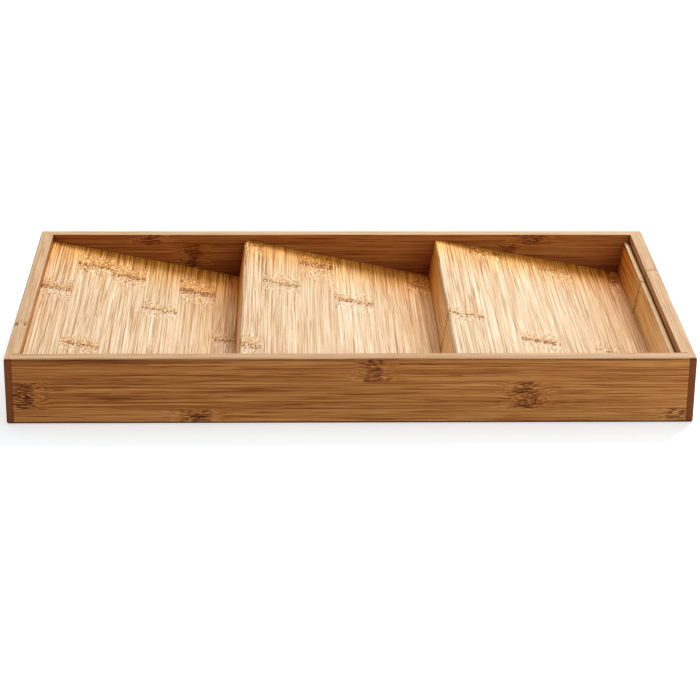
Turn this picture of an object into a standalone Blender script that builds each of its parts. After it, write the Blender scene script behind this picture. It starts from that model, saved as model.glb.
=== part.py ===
"""Bamboo tray whose floor is three tilted boards, each ending at a leaning riser.

Frame: metres, +Z up, +X to the right along the tray, +Y towards its back wall.  The origin is
on the surface that the tray stands on, below the middle of the tray.

The four walls meet in rabbeted corners: a side wall runs the whole depth, and a thin tongue at
each of its ends covers the end of the front or back wall.  The bottom panel sits in grooves in
the walls.  The risers stand on the panel.  Each floor board has its low end against a riser and
its high end on top of the riser before it; the first one's high end is on a support rail.
"""

import math

import bmesh
import bpy

# Driving dimensions
LENGTH = 0.450
DEPTH = 0.250
HEIGHT = 0.046
WALL = 0.0095
TONGUE = 0.0047

# The saw-tooth floor, from left to right.  A crest is a floor board's high end, and the last
# crest is the top of the end stop.  A trough is a floor board's low end.
PITCH = 0.1422
CREST_Z = (0.0409, 0.0420, 0.0420, 0.0400)
TROUGH_Z = (0.0130, 0.0133, 0.0160)
FLOOR_NAMES = ("left_floor_board", "middle_floor_board", "right_floor_board")
RISER_NAMES = ("left_riser", "right_riser")
RISER_LEAN = math.radians(9.0)
FLOOR_THICKNESS = 0.005
RISER_THICKNESS = 0.0034

PANEL_THICKNESS = 0.004
PANEL_Z = 0.0035
GROOVE_DEPTH = 0.004

GLUE_GAP = 0.0003
WALL_RADIUS = 0.0016
CREST_RADIUS = 0.0015
STOP_RADIUS = 0.0006
ROUND_STEPS = 3

# Worked out from the driving dimensions
INNER_X = LENGTH / 2 - WALL
INNER_Y = DEPTH / 2 - WALL
PANEL_TOP = PANEL_Z + PANEL_THICKNESS

# Directions in the X-Z plane
UP_RISER = (math.sin(RISER_LEAN), math.cos(RISER_LEAN))
LEVEL = (1.0, 0.0)
UPRIGHT = (0.0, 1.0)

WALL_COLOUR = (0.50, 0.27, 0.11)
FLOOR_COLOUR = (0.74, 0.52, 0.29)
RISER_COLOUR = (0.58, 0.34, 0.15)
HIDDEN_COLOUR = (0.62, 0.42, 0.22)
ROUGHNESS = 0.5


def clear_scene():
    """Remove every object that is in the scene."""
    for thing in list(bpy.data.objects):
        bpy.data.objects.remove(thing, do_unlink=True)


def bamboo(name, colour):
    """A matt, lightly oiled bamboo finish."""
    material = bpy.data.materials.new(name)
    material.use_nodes = True
    shader = material.node_tree.nodes["Principled BSDF"]
    shader.inputs["Base Color"].default_value = (*colour, 1.0)
    shader.inputs["Roughness"].default_value = ROUGHNESS
    shader.inputs["Metallic"].default_value = 0.0
    return material


def near(value, target):
    """True where two lengths agree to a thousandth of a millimetre."""
    return abs(value - target) < 1e-6


def prism(outline, direction, start, end):
    """A closed solid: an outline in X-Z extruded along Y, or one in X-Y extruded along Z."""
    solid = bmesh.new()
    if direction == "Y":
        corners = [solid.verts.new((first, start, second)) for first, second in outline]
        travel = (0.0, end - start, 0.0)
    else:
        corners = [solid.verts.new((first, second, start)) for first, second in outline]
        travel = (0.0, 0.0, end - start)
    grown = bmesh.ops.extrude_face_region(solid, geom=[solid.faces.new(corners)])
    moved = [item for item in grown["geom"] if isinstance(item, bmesh.types.BMVert)]
    bmesh.ops.translate(solid, verts=moved, vec=travel)
    bmesh.ops.recalc_face_normals(solid, faces=solid.faces)
    return solid


def round_edges(solid, edges, radius):
    """Ease the given edges of a solid."""
    bmesh.ops.bevel(
        solid, geom=edges, offset=radius, segments=ROUND_STEPS, profile=0.5, affect="EDGES"
    )


def finish_mesh(name, solid, material):
    """Turn the working solid into a mesh with its material."""
    mesh = bpy.data.meshes.new(name)
    solid.to_mesh(mesh)
    solid.free()
    mesh.materials.append(material)
    return mesh


def place(name, mesh, parent, location=(0.0, 0.0, 0.0), turn=0.0):
    """Put a mesh in the scene as a named object, turned about Z."""
    piece = bpy.data.objects.new(name, mesh)
    bpy.context.scene.collection.objects.link(piece)
    piece.parent = parent
    piece.location = location
    piece.rotation_euler = (0.0, 0.0, turn)
    return piece


# Walls.  A wall's own origin is at the bottom of its outer face, and +Y (front and back) or
# +X (left and right) points into the tray.


def outer_edges(solid, outside):
    """The level edges on the outside of a wall, and a side wall's upright outer corners."""
    found = []
    for edge in solid.edges:
        first, second = (vert.co for vert in edge.verts)
        if not (outside(first) and outside(second)):
            continue
        if near(first.z, second.z) or near(first.x, 0.0):
            found.append(edge)
    return found


def rectangle(low, high):
    """The corners of an upright or level rectangle between two opposite corners."""
    return [(low[0], low[1]), (high[0], low[1]), (high[0], high[1]), (low[0], high[1])]


def cut_groove(wall, low, high, material):
    """Cut the groove for the bottom panel, whose plan runs from low to high."""
    solid = prism(rectangle(low, high), "Z", PANEL_Z - GLUE_GAP, PANEL_TOP + GLUE_GAP)
    cutter = place(wall.name + "_cutter", finish_mesh("groove", solid, material), wall)
    cutter.hide_render = True
    cutter.display_type = "WIRE"
    groove = wall.modifiers.new("groove", "BOOLEAN")
    groove.operation = "DIFFERENCE"
    groove.solver = "EXACT"
    groove.object = cutter


def long_walls(tray, material):
    """The front and back walls, whose ends the side walls' tongues cover."""
    half = LENGTH / 2 - TONGUE - GLUE_GAP
    solid = prism(rectangle((-half, 0.0), (half, WALL)), "Z", 0.0, HEIGHT)
    round_edges(solid, outer_edges(solid, lambda point: near(point.y, 0.0)), WALL_RADIUS)
    mesh = finish_mesh("long_wall", solid, material)
    for name, y, turn in (("front_wall", -DEPTH / 2, 0.0), ("back_wall", DEPTH / 2, math.pi)):
        wall = place(name, mesh, tray, (0.0, y, 0.0), turn)
        cut_groove(wall, (-LENGTH / 2, WALL - GROOVE_DEPTH), (LENGTH / 2, WALL + GLUE_GAP), material)


def side_walls(tray, material):
    """The left and right walls, with a rabbet and a tongue at each end."""
    end = DEPTH / 2
    shoulder = end - WALL - GLUE_GAP
    outline = [
        (0.0, -end),
        (TONGUE, -end),
        (TONGUE, -shoulder),
        (WALL, -shoulder),
        (WALL, shoulder),
        (TONGUE, shoulder),
        (TONGUE, end),
        (0.0, end),
    ]
    solid = prism(outline, "Z", 0.0, HEIGHT)
    outside = lambda point: near(point.x, 0.0) or near(abs(point.y), end)
    round_edges(solid, outer_edges(solid, outside), WALL_RADIUS)
    mesh = finish_mesh("side_wall", solid, material)
    for name, x, turn in (("left_wall", -LENGTH / 2, 0.0), ("right_wall", LENGTH / 2, math.pi)):
        wall = place(name, mesh, tray, (x, 0.0, 0.0), turn)
        cut_groove(wall, (WALL - GROOVE_DEPTH, -end), (WALL + GLUE_GAP, end), material)


def bottom_panel(tray, material):
    """The flat panel that the four grooves hold."""
    half_x = INNER_X + GROOVE_DEPTH - GLUE_GAP
    half_y = INNER_Y + GROOVE_DEPTH - GLUE_GAP
    solid = prism(rectangle((-half_x, -half_y), (half_x, half_y)), "Z", 0.0, PANEL_THICKNESS)
    place("bottom_panel", finish_mesh("bottom_panel", solid, material), tray, (0.0, 0.0, PANEL_Z))


# The saw-tooth floor.  A line in the X-Z plane is a point on it and its direction.


def meet(first, second):
    """The point where two lines meet."""
    (start, along), (other_start, other_along) = first, second
    gap_x = other_start[0] - start[0]
    gap_z = other_start[1] - start[1]
    spread = along[0] * other_along[1] - along[1] * other_along[0]
    steps = (gap_x * other_along[1] - gap_z * other_along[0]) / spread
    return (start[0] + along[0] * steps, start[1] + along[1] * steps)


def beside(line, distance):
    """The parallel line at a distance to the right of a line's direction."""
    (x, z), along = line
    return ((x + along[1] * distance, z - along[0] * distance), along)


def crest(index):
    """The sharp corner at the top of a riser's left face; crest 0 is at the left wall."""
    return (-INNER_X + GLUE_GAP + index * PITCH, CREST_Z[index])


def riser_face(index):
    """The left face of the riser below a crest."""
    return (crest(index), UP_RISER)


def floor_top(index):
    """The top of a floor board, from its crest down to its trough at the next riser."""
    high = crest(index)
    low = meet(riser_face(index + 1), ((0.0, TROUGH_Z[index]), LEVEL))
    length = math.hypot(low[0] - high[0], low[1] - high[1])
    return (high, ((low[0] - high[0]) / length, (low[1] - high[1]) / length))


def board(name, tray, material, index, sides, rounded=(), radius=CREST_RADIUS):
    """A board that runs from front to back, bounded by its left, top, right and bottom lines.

    Its own origin is at the crest of the given index, and the top corners on the rounded
    sides are eased.
    """
    left, top, right, bottom = sides
    origin = crest(index)
    points = [meet(left, bottom), meet(right, bottom), meet(right, top), meet(left, top)]
    outline = [(x - origin[0], z - origin[1]) for x, z in points]
    half = INNER_Y - GLUE_GAP
    solid = prism(outline, "Y", -half, half)
    for side in rounded:
        x, z = meet(side, top)
        corner = (x - origin[0], z - origin[1])
        at_corner = lambda vert: near(vert.co.x, corner[0]) and near(vert.co.z, corner[1])
        edges = [edge for edge in solid.edges if all(at_corner(vert) for vert in edge.verts)]
        round_edges(solid, edges, radius)
    place(name, finish_mesh(name, solid, material), tray, (origin[0], 0.0, origin[1]))


def floor_boards(tray, material):
    """The three tilted boards that the tray's contents lie on."""
    for index, name in enumerate(FLOOR_NAMES):
        top = floor_top(index)
        end = beside(riser_face(index + 1), -GLUE_GAP)
        underside = beside(top, FLOOR_THICKNESS)
        if index == 0:
            board(name, tray, material, index, ((crest(0), UPRIGHT), top, end, underside))
        else:
            face = riser_face(index)
            board(name, tray, material, index, (face, top, end, underside), rounded=(face,))


def risers(tray, riser_material, hidden_material):
    """The boards that hold the floor boards' high ends up, and the stop at the right end."""
    foot = ((0.0, PANEL_TOP + GLUE_GAP), LEVEL)
    for index, name in enumerate(RISER_NAMES, start=1):
        face = riser_face(index)
        bearing = beside(floor_top(index), FLOOR_THICKNESS + GLUE_GAP)
        sides = (face, bearing, beside(face, RISER_THICKNESS), foot)
        board(name, tray, riser_material, index, sides)

    last = len(TROUGH_Z)
    face = riser_face(last)
    back = beside(face, RISER_THICKNESS)
    top = (crest(last), floor_top(last - 1)[1])
    sides = (face, top, back, foot)
    board("end_stop", tray, riser_material, last, sides, rounded=(face, back), radius=STOP_RADIUS)

    at_wall = (crest(0), UPRIGHT)
    bearing = beside(floor_top(0), FLOOR_THICKNESS + GLUE_GAP)
    sides = (at_wall, bearing, beside(at_wall, RISER_THICKNESS), foot)
    board("support_rail", tray, hidden_material, 0, sides)


def build():
    """Make the whole tray."""
    clear_scene()
    tray = bpy.data.objects.new("tray", None)
    bpy.context.scene.collection.objects.link(tray)
    wall_material = bamboo("wall_bamboo", WALL_COLOUR)
    hidden_material = bamboo("hidden_bamboo", HIDDEN_COLOUR)
    long_walls(tray, wall_material)
    side_walls(tray, wall_material)
    bottom_panel(tray, hidden_material)
    floor_boards(tray, bamboo("floor_bamboo", FLOOR_COLOUR))
    risers(tray, bamboo("riser_bamboo", RISER_COLOUR), hidden_material)


build()
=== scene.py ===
import math
import random

import bmesh
import bpy
from mathutils import Matrix, Vector


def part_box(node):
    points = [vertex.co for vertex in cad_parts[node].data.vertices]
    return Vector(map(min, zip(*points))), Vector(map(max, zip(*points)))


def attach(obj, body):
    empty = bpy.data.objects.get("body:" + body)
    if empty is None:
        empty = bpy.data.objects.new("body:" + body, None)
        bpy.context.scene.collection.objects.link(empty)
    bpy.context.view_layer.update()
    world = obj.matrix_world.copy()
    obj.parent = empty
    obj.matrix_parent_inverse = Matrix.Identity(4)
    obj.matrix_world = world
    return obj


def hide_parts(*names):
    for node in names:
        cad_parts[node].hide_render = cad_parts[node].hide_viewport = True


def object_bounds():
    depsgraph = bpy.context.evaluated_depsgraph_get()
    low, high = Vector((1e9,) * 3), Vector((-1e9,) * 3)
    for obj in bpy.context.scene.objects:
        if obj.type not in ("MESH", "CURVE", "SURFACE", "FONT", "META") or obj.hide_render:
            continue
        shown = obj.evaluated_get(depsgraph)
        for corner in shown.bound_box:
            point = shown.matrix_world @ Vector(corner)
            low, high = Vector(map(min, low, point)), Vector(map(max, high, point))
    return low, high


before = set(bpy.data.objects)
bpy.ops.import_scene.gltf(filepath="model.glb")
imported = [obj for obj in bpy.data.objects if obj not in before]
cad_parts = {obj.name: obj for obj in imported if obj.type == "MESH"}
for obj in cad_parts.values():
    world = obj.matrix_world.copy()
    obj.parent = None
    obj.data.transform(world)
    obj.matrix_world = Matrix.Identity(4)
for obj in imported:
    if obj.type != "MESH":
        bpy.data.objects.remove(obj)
cad_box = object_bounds()

MM = 0.001
X = Vector((1.0, 0.0, 0.0))
Y = Vector((0.0, 1.0, 0.0))
Z = Vector((0.0, 0.0, 1.0))

# Camera
CAMERA_PLACE = Vector((-0.0438, -1.4611, 0.6030))
CAMERA_DOWN = math.radians(22.40)
CAMERA_YAW = math.radians(-1.82)
CAMERA_ROLL = math.radians(0.603)
SENSOR = 36.0
LENS = 115.03

# Joints between boards
JOINT_GAP = 0.06 * MM
WALL_RADIUS = 1.6 * MM
CREST_RADIUS = 1.5 * MM
EASED_RADIUS = 0.45 * MM
JOINT_RADIUS = 0.7 * MM
ROUND_STEPS = 5
EASED_STEPS = 2


# ---------------------------------------------------------------- camera, floor and light


def turned(yaw, down, roll):
    """A camera's world rotation: looking along +Y, turned about Z, tilted down and rolled."""
    level = Vector((math.cos(yaw), math.sin(yaw), 0.0))
    away = Vector((-math.sin(yaw), math.cos(yaw), 0.0))
    ahead = away * math.cos(down) - Z * math.sin(down)
    upright = away * math.sin(down) + Z * math.cos(down)
    right = level * math.cos(roll) + upright * math.sin(roll)
    top = upright * math.cos(roll) - level * math.sin(roll)
    return Matrix((right, top, -ahead)).transposed().to_4x4()


def add_camera():
    """A long lens at the photograph's viewing angle."""
    data = bpy.data.cameras.new("camera")
    data.sensor_width = SENSOR
    data.lens = LENS
    camera = bpy.data.objects.new("camera", data)
    camera.matrix_world = Matrix.Translation(CAMERA_PLACE) @ turned(
        CAMERA_YAW, CAMERA_DOWN, CAMERA_ROLL
    )
    bpy.context.scene.collection.objects.link(camera)
    bpy.context.scene.camera = camera


FLOOR_HALF = 12.0
FLOOR_COLOUR = (0.74, 0.79, 0.82)
FLOOR_ROUGHNESS = 0.9
FLOOR_SPECULAR = 0.1
FLOOR_GLOW = 0.54
SKY_STRENGTH = 0.42
SKY_COLOUR = (0.93, 0.985, 1.0)
LAMP_COLOUR = (1.0, 0.975, 0.94)

# Soft boxes: azimuth and elevation in degrees, distance and size in metres, brightness
LAMPS = {
    "key": (26.0, 41.0, 3.0, 1.4, 0.98),
    "overhead": (0.0, 80.0, 3.0, 1.6, 0.15),
    "front_fill": (135.0, 12.0, 1.4, 0.8, 0.14),
}


def add_floor():
    """A plain pale floor.  Its own glow keeps it as white as the photograph's background."""
    mesh = bpy.data.meshes.new("studio_floor")
    corners = [(-FLOOR_HALF, -FLOOR_HALF), (FLOOR_HALF, -FLOOR_HALF)]
    corners += [(FLOOR_HALF, FLOOR_HALF), (-FLOOR_HALF, FLOOR_HALF)]
    mesh.from_pydata([(x, y, 0.0) for x, y in corners], [], [(0, 1, 2, 3)])
    floor = bpy.data.objects.new("studio_floor", mesh)
    bpy.context.scene.collection.objects.link(floor)
    material = bpy.data.materials.new("white_sweep")
    material.use_nodes = True
    shader = material.node_tree.nodes["Principled BSDF"]
    shader.inputs["Base Color"].default_value = (*FLOOR_COLOUR, 1.0)
    shader.inputs["Roughness"].default_value = FLOOR_ROUGHNESS
    shader.inputs["Specular IOR Level"].default_value = FLOOR_SPECULAR
    shader.inputs["Emission Color"].default_value = (1.0, 1.0, 1.0, 1.0)
    shader.inputs["Emission Strength"].default_value = FLOOR_GLOW
    mesh.materials.append(material)


def add_soft_box(name, azimuth, elevation, distance, size, brightness):
    """A square soft box that faces the tray.  Azimuth is from +Y towards +X, in degrees, and
    brightness is what it alone gives a white surface that faces it."""
    azimuth, elevation = math.radians(azimuth), math.radians(elevation)
    flat = math.cos(elevation)
    towards = Vector((math.sin(azimuth) * flat, math.cos(azimuth) * flat, math.sin(elevation)))
    data = bpy.data.lights.new(name, "AREA")
    data.shape = "SQUARE"
    data.size = size
    data.color = LAMP_COLOUR
    # A Lambert emitter of power P and a far white surface: radiance P / (pi^2 d^2).
    data.energy = brightness * (math.pi * distance) ** 2
    light = bpy.data.objects.new(name, data)
    light.location = towards * distance
    light.rotation_euler = towards.to_track_quat("Z", "Y").to_euler()
    bpy.context.scene.collection.objects.link(light)


def add_light():
    """A soft box behind and to the right, one overhead, a weak one in front, and a white room."""
    world = bpy.data.worlds.new("white_room")
    world.use_nodes = True
    background = world.node_tree.nodes["Background"]
    background.inputs["Color"].default_value = (*SKY_COLOUR, 1.0)
    background.inputs["Strength"].default_value = SKY_STRENGTH
    bpy.context.scene.world = world
    for name, lamp in LAMPS.items():
        add_soft_box(name, *lamp)
    bpy.context.scene.view_settings.view_transform = "Standard"


# ---------------------------------------------------------------- bamboo finish


class Nodes:
    """Short names for building one material's node tree."""

    def __init__(self, name):
        self.material = bpy.data.materials.new(name)
        self.material.use_nodes = True
        self.tree = self.material.node_tree
        self.shader = self.tree.nodes["Principled BSDF"]

    def add(self, kind, inputs=None, **settings):
        """A node with its settings and its inputs, which are values or other nodes' outputs."""
        node = self.tree.nodes.new("ShaderNode" + kind)
        for key, value in settings.items():
            setattr(node, key, value)
        for socket, value in (inputs or {}).items():
            self.join(node.inputs[socket], value)
        return node

    def join(self, socket, value):
        """Set a socket to a value, or link it to an output."""
        if isinstance(value, bpy.types.NodeSocket):
            self.tree.links.new(value, socket)
        else:
            socket.default_value = value

    def math(self, operation, *values):
        inputs = dict(enumerate(values))
        return self.add("Math", inputs, operation=operation).outputs[0]

    def vector(self, operation, first, second):
        return self.add("VectorMath", {0: first, 1: second}, operation=operation).outputs[0]

    def attribute(self, name, output="Fac"):
        return self.add("Attribute", attribute_name=name).outputs[output]

    def split(self, vector):
        return self.add("SeparateXYZ", {0: vector}).outputs

    def noise(self, vector, detail=2.0, roughness=0.5, output=0):
        inputs = {"Vector": vector, "Scale": 1.0, "Detail": detail, "Roughness": roughness}
        return self.add("TexNoise", inputs).outputs[output]

    def smooth(self, value, low, high, to_low=0.0, to_high=1.0):
        """A smooth step between two values."""
        inputs = {0: value, 1: low, 2: high, 3: to_low, 4: to_high}
        return self.add("MapRange", inputs, interpolation_type="SMOOTHSTEP").outputs[0]

    def mix(self, factor, first, second, blend="MIX"):
        """Mix two colours."""
        node = self.add("Mix", data_type="RGBA", blend_type=blend)
        for socket, value in ((0, factor), (6, first), (7, second)):
            self.join(node.inputs[socket], value)
        return node.outputs[2]


def streaks(nodes, place, length, width, **noise):
    """Noise drawn out along the fibres, with cells of a length and a width in metres."""
    across = 1.0 / width
    return nodes.noise(nodes.vector("MULTIPLY", place, (1.0 / length, across, across)), **noise)


def colour(red, green, blue):
    return (red, green, blue, 1.0)


# What parts of the finish are multiplied by.  PAINTED_CORNER_SHADE, PAINTED_BACK_SHADE and SHADE
# are painted shade: they darken corners and the boards' back ends by their place on the tray.  In
# the photograph most of that darkening is probably shadow and light from board to board, which
# plain light alone doesn't give here.
PAINTED_CORNER_SHADE = colour(0.88, 0.64, 0.32)
PAINTED_BACK_SHADE = colour(1.06, 0.75, 0.22)
SHADE = colour(0.36, 0.08, 0.10)
HONEY = colour(0.92, 0.76, 0.46)
FLECK = colour(1.32, 1.26, 1.16)
PATCH = colour(1.0, 0.84, 0.78)
END_GRAIN = colour(0.95, 0.70, 0.50)

# The colour of joint lines and of painted shade on the walls' rounded edges.
EDGE_SHADE = colour(0.050, 0.018, 0.007)

# How fast red, green and blue fall as a tone gets darker
CHANNEL_POWERS = (0.80, 1.27, 1.95)
CORNER_REACH = 55 * MM
CORNER_SAMPLES = 8
BUNDLE = 0.6 * MM
HATCH_LENGTH = 3.6 * MM
HATCH_WIDTH = 1.0 * MM
ROUGHNESS = 0.56
SPECULAR = 0.14
BUMP_HEIGHT = 0.08 * MM
BUMP_STRENGTH = 0.8


def bamboo(
    name, *, face, pale, line, knuckle, contrast, fibre, waves, hatching, dashes, honey, corner_shade, back_shade
):
    """Bamboo strips with fibre streaks, knuckles, glue lines and painted shade on rounded edges.

    face is the colour of the boards' faces, pale the lighter colour that tops, and in part the
    walls' inner faces, get as painted light, and line that of glue lines and end grain; knuckle
    is what the dark dashes of a knuckle leave of it.  contrast is how far the fibres' tones
    spread and fibre a fibre's width.  waves is the length, width and height of the fibres' waves
    beside a knuckle, how many half widths they reach and the share of them that is everywhere.
    hatching is the strength of the short marks there, dashes the length and width of a knuckle's
    dashes, and honey the strength of the ridge behind it.  amber is how strongly shade is painted
    in corners, and gold the same for the painted shade at the boards' back ends.
    """
    nodes = Nodes(name)
    grain = nodes.attribute("grain", "Vector")
    seed = nodes.attribute("strip", "Fac")
    knots = [nodes.attribute("knot_a", "Vector"), nodes.attribute("knot_b", "Vector")]
    along = nodes.split(grain)[0]
    shift = nodes.add("VectorMath", {0: (0.9, 1.7, 1.3)}, operation="SCALE")
    nodes.join(shift.inputs["Scale"], seed)
    moved = nodes.vector("ADD", grain, shift.outputs[0])

    # How near this point is to a knuckle: close for the dark band, wide for the fibres' swirl,
    # and to one side for the honey-coloured ridge beside the band.
    wave_length, wave_width, wave_height, wave_reach, everywhere_waves = waves
    near_band = 0.0
    near_swirl = 0.0
    ridge = 0.0
    ragged = streaks(nodes, moved, 12 * MM, 3.2 * MM, detail=1.0)
    ragged = nodes.math("MULTIPLY_ADD", ragged, 6 * MM, -3.0 * MM)
    for knot in knots:
        place, strength, width = nodes.split(knot)
        gap = nodes.math("SUBTRACT", along, place)
        gap = nodes.math("ADD", gap, ragged)
        ratio = nodes.math("DIVIDE", gap, width)
        band = nodes.smooth(nodes.math("ABSOLUTE", ratio), 1.3, 0.4)
        near_band = nodes.math("MAXIMUM", nodes.math("MULTIPLY", band, strength), near_band)
        swirl = nodes.smooth(nodes.math("ABSOLUTE", ratio), wave_reach, 1.0)
        near_swirl = nodes.math("MAXIMUM", nodes.math("MULTIPLY", swirl, strength), near_swirl)
        begins, ends = nodes.smooth(ratio, -0.2, 0.5), nodes.smooth(ratio, 4.5, 1.5)
        beside = nodes.math("MULTIPLY", begins, ends)
        ridge = nodes.math("MAXIMUM", nodes.math("MULTIPLY", beside, strength), ridge)

    # Fibres, pushed sideways near a knuckle.
    push = streaks(nodes, moved, wave_length, wave_width, detail=0.0, output=1)
    push = nodes.vector("SUBTRACT", push, (0.5, 0.5, 0.5))
    push = nodes.vector("MULTIPLY", push, (0.0, wave_height, wave_height))
    scaled = nodes.add("VectorMath", {0: push}, operation="SCALE")
    nodes.join(scaled.inputs["Scale"], nodes.math("MAXIMUM", near_swirl, everywhere_waves))
    fibre_place = nodes.vector("ADD", moved, scaled.outputs[0])

    def spread(noise, reach):
        """Noise stretched to run from -1 to 1 within a reach about its middle."""
        return nodes.smooth(noise, 0.5 - reach, 0.5 + reach, -1.0, 1.0)

    fine = spread(streaks(nodes, fibre_place, 60 * MM, fibre, detail=1.0), 0.15)
    middle = spread(streaks(nodes, fibre_place, 110 * MM, 2 * fibre, detail=1.0), 0.16)
    broad = spread(streaks(nodes, fibre_place, 160 * MM, 6 * fibre, detail=1.0), 0.22)
    hatch = streaks(nodes, fibre_place, HATCH_LENGTH, HATCH_WIDTH, detail=0.0)
    hatch = nodes.math("MULTIPLY", spread(hatch, 0.16), near_swirl)
    patches = nodes.noise(nodes.vector("MULTIPLY", moved, (14.0, 60.0, 60.0)), detail=2.0)

    def crisp(noise, width):
        """Thin lines where a noise crosses its middle level."""
        off = nodes.math("ABSOLUTE", nodes.math("SUBTRACT", noise, 0.5))
        return nodes.smooth(off, width, 0.0)

    vessels = crisp(streaks(nodes, fibre_place, 120 * MM, 3 * fibre, detail=1.0), 0.06)
    broken = nodes.smooth(streaks(nodes, moved, 70 * MM, 1.6 * MM), 0.42, 0.56)
    vessels = nodes.math("MULTIPLY", vessels, broken)

    tone = nodes.math("MULTIPLY", fine, 0.55)
    tone = nodes.math("MULTIPLY_ADD", middle, 0.50, tone)
    tone = nodes.math("MULTIPLY_ADD", broad, 0.10, tone)
    tone = nodes.math("MULTIPLY_ADD", hatch, hatching, tone)

    rim = nodes.attribute("rim", "Fac")
    top = nodes.smooth(rim, 0.9, 1.0)
    base = nodes.mix(rim, face, pale)
    tint = nodes.smooth(patches, 0.45, 0.66)
    base = nodes.mix(nodes.math("MULTIPLY", tint, 0.22), base, PATCH, "MULTIPLY")
    strip_tone = nodes.attribute("tone", "Fac")
    inside = nodes.attribute("inside", "Fac")
    # Where the painted shade at the boards' back ends goes; the fibres show more strongly there
    # too.
    back_shade_mask = nodes.math("MULTIPLY", nodes.smooth(inside, 0.64, 0.97), back_shade)
    reach = nodes.math("MULTIPLY_ADD", rim, -0.5 * contrast, contrast)
    reach = nodes.math("MULTIPLY", reach, nodes.math("MULTIPLY_ADD", back_shade_mask, 0.8, 1.0))
    level = nodes.math("MULTIPLY_ADD", tone, reach, nodes.math("ADD", strip_tone, 1.0))
    glints = crisp(streaks(nodes, fibre_place, 95 * MM, 2.4 * fibre), 0.05)
    level = nodes.math("MULTIPLY_ADD", glints, nodes.math("MULTIPLY", reach, 0.45), level)
    depth = nodes.math("MULTIPLY", reach, 1.3)
    darker = nodes.math("SUBTRACT", 1.0, nodes.math("MULTIPLY", vessels, depth))
    level = nodes.math("MULTIPLY", level, darker)
    # A darker tone is also warmer: green and blue fall faster than red.
    channels = []
    for power in CHANNEL_POWERS:
        channels.append(nodes.math("POWER", nodes.math("MAXIMUM", level, 0.05), power))
    gain = nodes.add("CombineXYZ", dict(enumerate(channels))).outputs[0]
    wood = nodes.mix(1.0, base, gain, "MULTIPLY")

    # Knuckles: short dark dashes and light flecks across the whole strip, thickest in its
    # middle, and a honey-coloured ridge beside it.
    wood = nodes.mix(nodes.math("MULTIPLY", ridge, honey), wood, HONEY, "MULTIPLY")
    bent = nodes.mix(0.12, moved, fibre_place)
    marks = streaks(nodes, bent, *dashes, detail=1.5)
    dark_dash = nodes.smooth(nodes.math("MULTIPLY_ADD", near_band, 0.12, marks), 0.56, 0.63)
    dark_dash = nodes.math("MULTIPLY", dark_dash, nodes.smooth(near_band, 0.0, 0.3))
    light_fleck = nodes.math("MULTIPLY", nodes.smooth(marks, 0.46, 0.38), near_band)
    wood = nodes.mix(nodes.math("MULTIPLY", light_fleck, 0.6), wood, FLECK, "MULTIPLY")
    wood = nodes.mix(nodes.math("MULTIPLY", dark_dash, 0.95), wood, knuckle, "MULTIPLY")

    # End grain is darker, with the bundles showing as dots.
    end = nodes.smooth(nodes.attribute("end_grain", "Fac"), 0.35, 0.85)
    dots = nodes.noise(nodes.vector("MULTIPLY", moved, (0.0, 1 / BUNDLE, 1 / BUNDLE)))
    end_level = nodes.smooth(dots, 0.38, 0.62)
    end_colour = nodes.mix(end_level, line, face)
    end_colour = nodes.mix(0.60, end_colour, line)
    end_colour = nodes.mix(1.0, end_colour, END_GRAIN, "MULTIPLY")
    wood = nodes.mix(nodes.math("MULTIPLY", end, 0.96), wood, end_colour)

    # Glue lines between strips, and joint lines and painted shade on the walls' rounded edges.
    low, high, edge = nodes.split(nodes.attribute("seam", "Vector"))
    seam = nodes.smooth(nodes.math("MINIMUM", low, high), 0.42 * MM, 0.05 * MM)
    wood = nodes.mix(nodes.math("MULTIPLY", seam, 0.30), wood, line)
    wood = nodes.mix(nodes.math("MULTIPLY", edge, 0.95), wood, EDGE_SHADE)

    # Painted shade in the corners and at the floor boards' back ends, and darker painted shade
    # in the deepest corners: see the note at PAINTED_CORNER_SHADE.
    occlusion = nodes.add("AmbientOcclusion", {"Distance": CORNER_REACH}, samples=CORNER_SAMPLES)
    open_sky = occlusion.outputs["AO"]
    corner = nodes.math("MULTIPLY", nodes.smooth(open_sky, 1.0, 0.72), corner_shade)
    corner = nodes.math("MULTIPLY", corner, nodes.math("POWER", inside, 1.3))
    corner = nodes.math("MULTIPLY", corner, nodes.math("SUBTRACT", 1.0, top))
    wood = nodes.mix(corner, wood, PAINTED_CORNER_SHADE, "MULTIPLY")
    back_shade_mask = nodes.math("MULTIPLY", back_shade_mask, nodes.math("SUBTRACT", 1.0, top))
    wood = nodes.mix(back_shade_mask, wood, PAINTED_BACK_SHADE, "MULTIPLY")
    far_back = nodes.math("POWER", inside, 6.0)
    deep = nodes.math("MULTIPLY", nodes.smooth(open_sky, 0.55, 0.15), far_back)
    wood = nodes.mix(deep, wood, SHADE, "MULTIPLY")

    nodes.join(nodes.shader.inputs["Base Color"], wood)
    rough = nodes.math("MULTIPLY_ADD", fine, 0.06, ROUGHNESS)
    rough = nodes.math("MULTIPLY_ADD", near_band, 0.10, rough)
    rough = nodes.math("MULTIPLY_ADD", end, 0.12, rough)
    nodes.join(nodes.shader.inputs["Roughness"], rough)
    nodes.shader.inputs["Specular IOR Level"].default_value = SPECULAR
    height = nodes.math("MULTIPLY_ADD", fine, 0.3, nodes.math("MULTIPLY", vessels, -0.5))
    height = nodes.math("SUBTRACT", height, nodes.math("MULTIPLY", seam, 0.6))
    height = nodes.math("MULTIPLY_ADD", dark_dash, -0.4, height)
    relief = {"Height": height, "Distance": BUMP_HEIGHT, "Strength": BUMP_STRENGTH}
    nodes.join(nodes.shader.inputs["Normal"], nodes.add("Bump", relief).outputs[0])
    return nodes.material


# ---------------------------------------------------------------- boards


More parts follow.
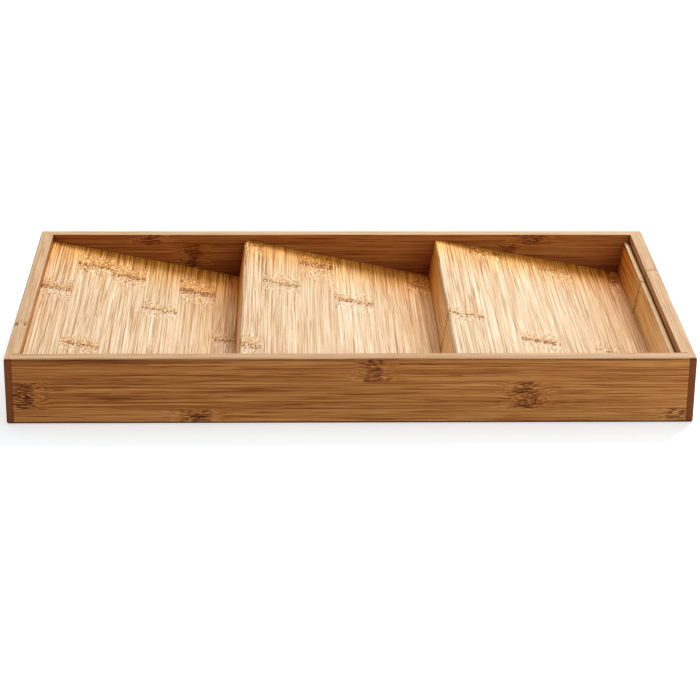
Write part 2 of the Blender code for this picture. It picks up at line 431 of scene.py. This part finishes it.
def prism(outline, across, up, direction, start, end):
    """A closed solid: an outline in the plane of two directions, extruded along a third."""
    solid = bmesh.new()
    corners = [solid.verts.new(across * u + up * v + direction * start) for u, v in outline]
    grown = bmesh.ops.extrude_face_region(solid, geom=[solid.faces.new(corners)])
    moved = [item for item in grown["geom"] if isinstance(item, bmesh.types.BMVert)]
    bmesh.ops.translate(solid, verts=moved, vec=direction * (end - start))
    bmesh.ops.recalc_face_normals(solid, faces=solid.faces)
    return solid


def round_edges(solid, chosen, radius, steps=ROUND_STEPS):
    """Ease the edges whose two ends both pass a test."""
    edges = [edge for edge in solid.edges if chosen(edge.verts[0].co, edge.verts[1].co)]
    bmesh.ops.bevel(
        solid, geom=edges, offset=radius, segments=steps, profile=0.5, affect="EDGES"
    )


SAME_PLACE = 1e-6


def near(value, target):
    return abs(value - target) < SAME_PLACE


TONE_SPREAD = 0.05
NOWHERE = 10.0
FOOT = 45 * MM
PALE_FROM = 0.55
PALE_TO = 0.95


class Strips:
    """How a board is glued up from strips, and where their knuckles are.

    along is the fibres' direction, across the direction in which strip lies beside strip, and
    origin the point that both are measured from.  seams are the distances across where strips
    meet.  knots lists (strip, distance along, strength, half width).  drift is how much
    lighter the faces get over a metre along, and lift sets the first strips' tones.
    shade is how much darker the last FOOT of the board gets, and bare_top leaves knuckles off
    the board's sanded top.  drift and shade follow the photograph's light and shade.
    """

    def __init__(
        self, origin, along, across, seams, knots, seed, drift=0.0, lift=(), shade=0.0,
        bare_top=False,
    ):
        self.origin = origin
        self.along = along
        self.across = across
        self.deep = along.cross(across)
        self.seams = seams
        self.knots = knots
        draw = random.Random(seed)
        count = len(seams) + 1
        self.tones = [draw.uniform(-TONE_SPREAD, TONE_SPREAD) for _ in range(count)]
        self.seeds = [draw.uniform(0.0, 1.0) for _ in range(count)]
        self.drift = drift
        self.shade = shade
        self.bare_top = bare_top
        for number, tone in enumerate(lift):
            self.tones[number] = tone

    def cut(self, solid):
        """Split the solid's faces where strips meet."""
        for seam in self.seams:
            geometry = solid.verts[:] + solid.edges[:] + solid.faces[:]
            bmesh.ops.bisect_plane(
                solid,
                geom=geometry,
                plane_co=self.origin + self.across * seam,
                plane_no=self.across,
            )

    def place(self, point):
        """A point's distances along and across the fibres and through the board."""
        offset = point - self.origin
        return Vector((offset.dot(self.along), offset.dot(self.across), offset.dot(self.deep)))

    def foot(self, distance):
        """How much painted shade darkens the board at a distance across, near its low end."""
        if not self.shade:
            return 0.0
        share = min(1.0, max(0.0, (distance - self.seams[-1] + FOOT) / (1.15 * FOOT)))
        return self.shade * share * share

    def index(self, distance):
        """The number of the strip at a distance across."""
        return sum(1 for seam in self.seams if distance > seam)


def write_looks(mesh, strips, rim_of, edge_of, inside_of):
    """Store on each face corner what the finish needs to know about its strip."""
    names = (
        ("grain", "FLOAT_VECTOR"),
        ("seam", "FLOAT_VECTOR"),
        ("knot_a", "FLOAT_VECTOR"),
        ("knot_b", "FLOAT_VECTOR"),
        ("strip", "FLOAT"),
        ("tone", "FLOAT"),
        ("rim", "FLOAT"),
        ("end_grain", "FLOAT"),
        ("inside", "FLOAT"),
    )
    for layer, kind in names:
        mesh.attributes.new(layer, kind, "CORNER")
    layers = {layer: mesh.attributes[layer] for layer, kind in names}
    limits = [-NOWHERE, *strips.seams, NOWHERE]
    for face in mesh.polygons:
        number = strips.index(strips.place(face.center).y)
        own = [knot[1:] for knot in strips.knots if knot[0] == number]
        if strips.bare_top and face.normal.z > PALE_FROM:
            own = []
        own += [(NOWHERE, 0.0, 1.0 * MM)] * (2 - len(own))
        for corner in face.loop_indices:
            point = mesh.vertices[mesh.loops[corner].vertex_index].co
            place = strips.place(point)
            low, high = place.y - limits[number], limits[number + 1] - place.y
            layers["grain"].data[corner].vector = place
            layers["seam"].data[corner].vector = (low, high, edge_of(point, face.normal))
            layers["knot_a"].data[corner].vector = own[0]
            layers["knot_b"].data[corner].vector = own[1]
            layers["strip"].data[corner].value = strips.seeds[number]
            rim = rim_of(point, face.normal)
            # Painted light from drift along the board, and painted shade from foot at its low end.
            tone = strips.tones[number] + strips.drift * place.x * (1.0 - rim)
            tone -= strips.foot(place.y)
            layers["tone"].data[corner].value = tone
            layers["rim"].data[corner].value = rim
            layers["end_grain"].data[corner].value = abs(face.normal.dot(strips.along))
            layers["inside"].data[corner].value = inside_of(point, face.normal)


def nowhere(point, normal):
    return 0.0


def everywhere(point, normal):
    return 1.0


SHARP_ANGLE = math.radians(40.0)
FACE_WEIGHT = 90


def add_board(
    name, solid, strips, material, rim_of=nowhere, edge_of=nowhere, inside_of=everywhere
):
    """Finish one board: cut it into strips, store its looks and put it in the frame."""
    strips.cut(solid)
    mesh = bpy.data.meshes.new(name + "_strips")
    solid.to_mesh(mesh)
    solid.free()
    write_looks(mesh, strips, rim_of, edge_of, inside_of)
    mesh.materials.append(material)
    mesh.shade_smooth()
    mesh.set_sharp_from_angle(angle=SHARP_ANGLE)
    piece = bpy.data.objects.new(name + "_strips", mesh)
    bpy.context.scene.collection.objects.link(piece)
    weighted = piece.modifiers.new("even_faces", "WEIGHTED_NORMAL")
    weighted.keep_sharp = True
    weighted.weight = FACE_WEIGHT
    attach(piece, "root")
    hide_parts(name)
    return piece


# Walls

HALF_LENGTH = cad_box[1][0]
HALF_DEPTH = cad_box[1][1]
# How much of the pale colour the walls' inner faces get as painted light, and how much of the
# painted corner shade shows on the side walls' inner faces.
SIDE_PAINTED_LIGHT = 0.85
LONG_PAINTED_LIGHT = 0.35
SIDE_CORNER_SHADE = 0.9
# How much lighter the front and back walls are painted per metre to the right: painted light.
WALL_PAINTED_LIGHT_DRIFT = {"front_wall": 0.75, "back_wall": 1.15}


def cut_groove(solid, low, high):
    """Cut the groove that holds the bottom panel: a box taken out of the solid."""
    holder = bpy.data.objects.new("wall_blank", bpy.data.meshes.new("wall_blank"))
    solid.to_mesh(holder.data)
    solid.free()
    outline = [(low.x, low.y), (high.x, low.y), (high.x, high.y), (low.x, high.y)]
    box = prism(outline, X, Y, Z, low.z, high.z)
    cutter = bpy.data.objects.new("groove_blank", bpy.data.meshes.new("groove_blank"))
    box.to_mesh(cutter.data)
    box.free()
    for thing in (holder, cutter):
        bpy.context.scene.collection.objects.link(thing)
    groove = holder.modifiers.new("groove", "BOOLEAN")
    groove.operation = "DIFFERENCE"
    groove.solver = "EXACT"
    groove.object = cutter
    shaped = bmesh.new()
    shaped.from_object(holder, bpy.context.evaluated_depsgraph_get())
    for thing in (holder, cutter):
        bpy.data.meshes.remove(thing.data)
    return shaped


def looks_in(point, normal):
    """Whether a face of a side or a long wall looks into the tray."""
    if abs(normal.z) > PALE_FROM:
        return False
    if abs(normal.x * point.x / HALF_LENGTH) > abs(normal.y * point.y / HALF_DEPTH):
        return normal.x * point.x < 0.0
    return normal.y * point.y < 0.0


def wall_inside(point, normal):
    """How much of the painted corner shade shows on a wall: least on the side walls' inner faces.
    """
    if not looks_in(point, normal):
        return 0.0
    return SIDE_CORNER_SHADE if abs(normal.x) > PALE_FROM else 1.0


def wall_rim(point, normal):
    """1 on a wall's top, fading over its rounded edges, and less on its inner faces: painted light.
    """
    top = min(1.0, max(0.0, (normal.z - PALE_FROM) / (PALE_TO - PALE_FROM)))
    if not looks_in(point, normal):
        return top
    return max(top, SIDE_PAINTED_LIGHT if abs(normal.x) > PALE_FROM else LONG_PAINTED_LIGHT)


def wall_edge_shade(point, normal):
    """Up to 1 on rounded wall edges: joint lines, and painted shade that is darkest at the bottom.
    """
    if abs(normal.z) < 0.08:
        rounded = abs(normal.x) > 0.1 and abs(normal.y) > 0.1
        at_joint = abs(point.x) < HALF_LENGTH - 2 * WALL_RADIUS
        return 0.9 if rounded and (at_joint or abs(normal.x) > 0.7) else 0.0
    if normal.z > 0.0:
        return 0.4 if normal.z < PALE_FROM else 0.0
    return 1.0 if normal.z > -0.98 else 0.0


def add_walls(material):
    """Four walls: the side walls' tongues cover the ends of the long ones."""
    panel_low, panel_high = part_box("bottom_panel")
    slack = Vector((JOINT_GAP, JOINT_GAP, JOINT_GAP))
    panel_low, panel_high = Vector(panel_low) - slack, Vector(panel_high) + slack

    long_seams = {"front_wall": (10.4 * MM, 29.4 * MM), "back_wall": (19.0 * MM, 38.0 * MM)}
    long_knots = {
        "front_wall": [
            (1, -0.2130, 1.0, 7.0 * MM),
            (1, 0.1150, 1.0, 8.0 * MM),
            (0, -0.1020, 0.7, 10.0 * MM),
            (0, 0.2140, 0.7, 7.0 * MM),
            (2, 0.0145, 0.8, 6.5 * MM),
        ],
        "back_wall": [
            (2, -0.1430, 0.9, 7.0 * MM),
            (1, -0.1120, 1.0, 6.0 * MM),
            (2, 0.1420, 0.9, 8.0 * MM),
            (1, 0.1230, 0.8, 7.0 * MM),
            (0, -0.0300, 0.8, 6.0 * MM),
        ],
    }
    long_tones = {"front_wall": (0.14, -0.02, -0.08), "back_wall": (0.04, 0.07, 0.02)}
    for seed, name in enumerate(("front_wall", "back_wall"), start=11):
        low, high = (Vector(corner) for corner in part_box(name))
        outer = low.y if name == "front_wall" else high.y
        inner = high.y if name == "front_wall" else low.y
        outline = [(low.y, 0.0), (high.y, 0.0), (high.y, high.z), (low.y, high.z)]
        solid = prism(outline, Y, Z, X, low.x, high.x)
        level = lambda a, b: near(a.y, b.y) and near(a.z, b.z)
        round_edges(solid, lambda a, b: level(a, b) and near(a.y, outer), WALL_RADIUS)
        top_inner = lambda a, b: level(a, b) and near(a.y, inner) and near(a.z, high.z)
        round_edges(solid, top_inner, EASED_RADIUS, EASED_STEPS)
        groove_low = Vector((low.x - 1 * MM, panel_low.y, panel_low.z))
        groove_high = Vector((high.x + 1 * MM, panel_high.y, panel_high.z))
        solid = cut_groove(solid, groove_low, groove_high)
        strips = Strips(
            Vector(), X, Z, long_seams[name], long_knots[name], seed,
            drift=WALL_PAINTED_LIGHT_DRIFT[name], lift=long_tones[name], bare_top=True,
        )
        add_board(name, solid, strips, material, wall_rim, wall_edge_shade, wall_inside)

    front_low, front_high = (Vector(corner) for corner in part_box("front_wall"))
    side_knots = {
        "left_wall": [
            (2, -0.064, 0.5, 3.0 * MM),
            (1, 0.052, 0.9, 4.5 * MM),
            (0, -0.020, 0.8, 4.0 * MM),
        ],
        "right_wall": [
            (2, 0.039, 0.5, 3.0 * MM),
            (1, -0.047, 0.9, 4.5 * MM),
            (0, 0.081, 0.8, 4.0 * MM),
        ],
    }
    side_seams = {"left_wall": (13.0 * MM, 31.5 * MM), "right_wall": (15.5 * MM, 34.0 * MM)}
    for seed, name in enumerate(("left_wall", "right_wall"), start=21):
        low, high = (Vector(corner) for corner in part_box(name))
        end = high.y
        outer, inner = (low.x, high.x) if name == "left_wall" else (high.x, low.x)
        tongue = (front_low.x - JOINT_GAP) if name == "left_wall" else (front_high.x + JOINT_GAP)
        shoulder = -front_high.y - JOINT_GAP
        outline = [(outer, -end), (tongue, -end), (tongue, -shoulder), (inner, -shoulder),
                   (inner, shoulder), (tongue, shoulder), (tongue, end), (outer, end)]
        solid = prism(outline, X, Y, Z, 0.0, high.z)

        def outside(point):
            return near(point.x, outer) or near(abs(point.y), end)

        def outer_edge(a, b):
            level = near(a.z, b.z)
            return outside(a) and outside(b) and (level or near(a.x, outer))

        round_edges(solid, outer_edge, WALL_RADIUS)

        def inner_top_edge(a, b):
            return near(a.x, inner) and near(b.x, inner) and near(a.z + b.z, 2 * high.z)

        round_edges(solid, inner_top_edge, EASED_RADIUS, EASED_STEPS)

        def joint_edge(a, b):
            upright = near(a.x, b.x) and near(a.y, b.y)
            return upright and near(a.x, tongue) and near(abs(a.y), end)

        round_edges(solid, joint_edge, JOINT_RADIUS, EASED_STEPS)
        groove_low = Vector((panel_low.x, -end - 1 * MM, panel_low.z))
        groove_high = Vector((panel_high.x, end + 1 * MM, panel_high.z))
        solid = cut_groove(solid, groove_low, groove_high)
        strips = Strips(Vector(), Y, Z, side_seams[name], side_knots[name], seed)
        add_board(name, solid, strips, material, wall_rim, wall_edge_shade, wall_inside)


# Floor boards, risers and stop: prisms that run from front to back

INNER_HALF = -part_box("front_wall")[1][1]
# How much darker risers, stop and rail are painted per metre towards the back: painted shade.
UPRIGHT_PAINTED_SHADE_DRIFT = -1.5
UPRIGHT_TOP = 0.7
STOP_RADIUS = 0.6 * MM


def upright_rim(point, normal):
    """1 on the top of an upright board, which gets the pale colour as painted light."""
    return 1.0 if normal.z > UPRIGHT_TOP else 0.0


def towards_back(point, normal):
    """0 at the front wall and 1 at the back wall, below which the boards' painted shade is darkest.
    """
    return 0.5 + 0.5 * point.y / HALF_DEPTH


def hull(points):
    """The convex outline of points in a plane, counter-clockwise."""
    points = sorted(set(points))
    chains = []
    for ordered in (points, points[::-1]):
        chain = []
        for point in ordered:
            while len(chain) > 1:
                (ax, ay), (bx, by) = chain[-2], chain[-1]
                if (bx - ax) * (point[1] - ay) - (by - ay) * (point[0] - ax) > 1e-10:
                    break
                chain.pop()
            chain.append(point)
        chains.append(chain[:-1])
    return chains[0] + chains[1]


def sharp_profile(node):
    """The four corners of a CAD board's section in X-Z, before its edges were rounded:
    where the lines along its four longest sides meet."""
    points = [(round(v.co.x, 7), round(v.co.z, 7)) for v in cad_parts[node].data.vertices]
    outline = hull(points)
    sides = list(zip(outline, outline[1:] + outline[:1]))
    longest = sorted(sides, key=lambda side: math.dist(*side), reverse=True)[:4]
    sides = [side for side in sides if side in longest]
    corners = []
    for (a, b), (c, d) in zip(sides, sides[1:] + sides[:1]):
        first, second = (b[0] - a[0], b[1] - a[1]), (d[0] - c[0], d[1] - c[1])
        spread = first[0] * second[1] - first[1] * second[0]
        steps = ((c[0] - a[0]) * second[1] - (c[1] - a[1]) * second[0]) / spread
        corners.append((a[0] + first[0] * steps, a[1] + first[1] * steps))
    return corners


def add_inner_board(name, rounded, seams, knots, material, seed, upright=False, shade=0.0):
    """A floor board, riser or stop.  rounded maps corner roles to radii: "top_left" and
    "top_right" name the upper corners of its section."""
    corners = sharp_profile(name)
    if upright:
        by_height = sorted(corners, key=lambda corner: corner[1])
        bottom_left = min(by_height[:2])
        top_left, top_right = sorted(by_height[2:])
    else:
        by_x = sorted(corners)
        top_left = max(by_x[:2], key=lambda corner: corner[1])
        top_right = max(by_x[2:], key=lambda corner: corner[1])
    reach = INNER_HALF - JOINT_GAP
    solid = prism(corners, X, Z, Y, -reach, reach)
    named = {"top_left": top_left, "top_right": top_right}
    for role, radius in rounded.items():
        x, z = named[role]

        def at_corner(a, b):
            return all(
                abs(p.x - x) < 2 * SAME_PLACE and abs(p.z - z) < 2 * SAME_PLACE for p in (a, b)
            )

        round_edges(solid, at_corner, radius)
    origin = Vector((top_left[0], 0.0, top_left[1]))
    if upright:
        foot = Vector((bottom_left[0], 0.0, bottom_left[1]))
        across = (origin - foot).normalized()
        origin = foot
    else:
        across = (Vector((top_right[0], 0.0, top_right[1])) - origin).normalized()
    drift = UPRIGHT_PAINTED_SHADE_DRIFT if upright else 0.0
    rim_of = upright_rim if upright else nowhere
    strips = Strips(origin, Y, across, seams, knots, seed, drift, shade=shade)
    add_board(name, solid, strips, material, rim_of=rim_of, inside_of=towards_back)


def add_floor_boards(material):
    seams = {
        "left_floor_board": [21.6, 47.5, 71.7, 97.1, 123.7],
        "middle_floor_board": [14.3, 41.8, 66.6, 95.6, 122.9],
        "right_floor_board": [25.0, 49.0, 76.5, 101.5, 130.0, 138.6],
    }
    knots = {
        "left_floor_board": [
            (1, 80, 1.0, 3.6), (2, 71, 1.0, 4.0), (3, 17, 0.8, 3.2), (4, 65, 1.0, 5.2),
            (1, -71, 0.8, 3.4), (5, -17, 0.7, 3.0), (0, 23, 1.0, 4.2), (2, -103, 0.3, 3.0),
        ],
        "middle_floor_board": [
            (2, 90, 1.0, 6.0), (1, 38, 0.8, 3.8), (3, 30, 0.8, 3.8), (0, -89, 0.7, 5.0),
            (0, 109, 0.9, 4.0), (4, -104, 0.35, 4.0), (5, 88, 0.5, 4.0),
        ],
        "right_floor_board": [
            (0, -32, 0.8, 2.8), (2, -58, 0.9, 3.4), (4, -55, 0.45, 3.0), (5, 96, 1.0, 9.0),
            (3, 92, 0.4, 4.0), (1, 104, 0.5, 4.0),
        ],
    }
    rounded = {
        "left_floor_board": {},
        "middle_floor_board": {"top_left": CREST_RADIUS},
        "right_floor_board": {"top_left": CREST_RADIUS},
    }
    # How much painted shade darkens each floor board's low end.
    shades = {"left_floor_board": 0.0, "middle_floor_board": 0.10, "right_floor_board": 0.42}
    for seed, name in enumerate(seams, start=31):
        in_metres = [(n, y * MM, strength, width * MM) for n, y, strength, width in knots[name]]
        add_inner_board(
            name, rounded[name], [seam * MM for seam in seams[name]], in_metres, material,
            seed, shade=shades[name],
        )


def add_risers(material, hidden):
    rounded_top = {"top_left": STOP_RADIUS, "top_right": STOP_RADIUS}
    uprights = (
        ("left_riser", {}, [(0, 0.060, 0.7, 3.0 * MM)], material, "riser_bamboo"),
        ("right_riser", {}, [(0, -0.032, 1.0, 2.6 * MM)], material, "riser_bamboo"),
        ("end_stop", rounded_top, [(0, 0.032, 1.0, 2.6 * MM)], material, "riser_bamboo"),
        ("support_rail", {}, [], hidden, "hidden_bamboo"),
    )
    for seed, (name, rounded, knots, finish, slot) in enumerate(uprights, start=41):
        add_inner_board(name, rounded, [], knots, finish, seed, upright=True)


def add_bottom_panel(material):
    low, high = (Vector(corner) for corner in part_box("bottom_panel"))
    outline = [(low.x, low.z), (high.x, low.z), (high.x, high.z), (low.x, high.z)]
    solid = prism(outline, X, Z, Y, low.y, high.y)
    seams = [-0.075, -0.05, -0.025, 0.0, 0.025, 0.05, 0.075]
    strips = Strips(Vector(), X, Y, seams, [(1, 0.10, 0.9, 4 * MM), (4, -0.13, 0.9, 4 * MM)], 51)
    add_board("bottom_panel", solid, strips, material)


# ---------------------------------------------------------------- the scene

add_camera()
add_floor()
add_light()

LINE = colour(0.13, 0.042, 0.014)
LONG_WAVES = (13 * MM, 4.0 * MM, 4.5 * MM, 3.2, 0.09)
SHORT_WAVES = (5.5 * MM, 2.4 * MM, 5.0 * MM, 6.5, 0.035)
wall_finish = bamboo(
    "wall_bamboo_finish", face=colour(0.382, 0.142, 0.030), pale=colour(0.63, 0.395, 0.215),
    line=LINE, knuckle=colour(0.30, 0.17, 0.12), contrast=0.46, fibre=0.45 * MM,
    waves=LONG_WAVES, hatching=0.35, dashes=(5.0 * MM, 0.45 * MM), honey=0.2, corner_shade=1.0, back_shade=0.0,
)
floor_finish = bamboo(
    "floor_bamboo_finish", face=colour(0.74, 0.515, 0.310), pale=colour(0.78, 0.57, 0.36),
    line=colour(0.34, 0.13, 0.04), knuckle=colour(0.36, 0.20, 0.06), contrast=0.36,
    fibre=0.42 * MM, waves=SHORT_WAVES, hatching=0.75, dashes=(2.6 * MM, 0.9 * MM), honey=0.7,
    corner_shade=1.0, back_shade=0.9,
)
# The risers' and stop's face is painted lighter and warmer than the floor boards' bamboo, as
# painted light bounced onto them from the floor boards.
riser_finish = bamboo(
    "riser_bamboo_finish", face=colour(0.93, 0.585, 0.26), pale=colour(0.78, 0.55, 0.34),
    line=LINE, knuckle=colour(0.40, 0.24, 0.16), contrast=0.28, fibre=0.50 * MM,
    waves=LONG_WAVES, hatching=0.3, dashes=(4.0 * MM, 0.8 * MM), honey=0.4, corner_shade=1.0, back_shade=0.9,
)
hidden_finish = bamboo(
    "hidden_bamboo_finish", face=colour(0.60, 0.40, 0.22), pale=colour(0.70, 0.48, 0.28),
    line=LINE, knuckle=colour(0.36, 0.22, 0.14), contrast=0.32, fibre=0.60 * MM,
    waves=LONG_WAVES, hatching=0.5, dashes=(4.0 * MM, 0.8 * MM), honey=0.5, corner_shade=0.6, back_shade=0.0,
)

add_walls(wall_finish)
add_floor_boards(floor_finish)
add_risers(riser_finish, hidden_finish)
add_bottom_panel(hidden_finish)
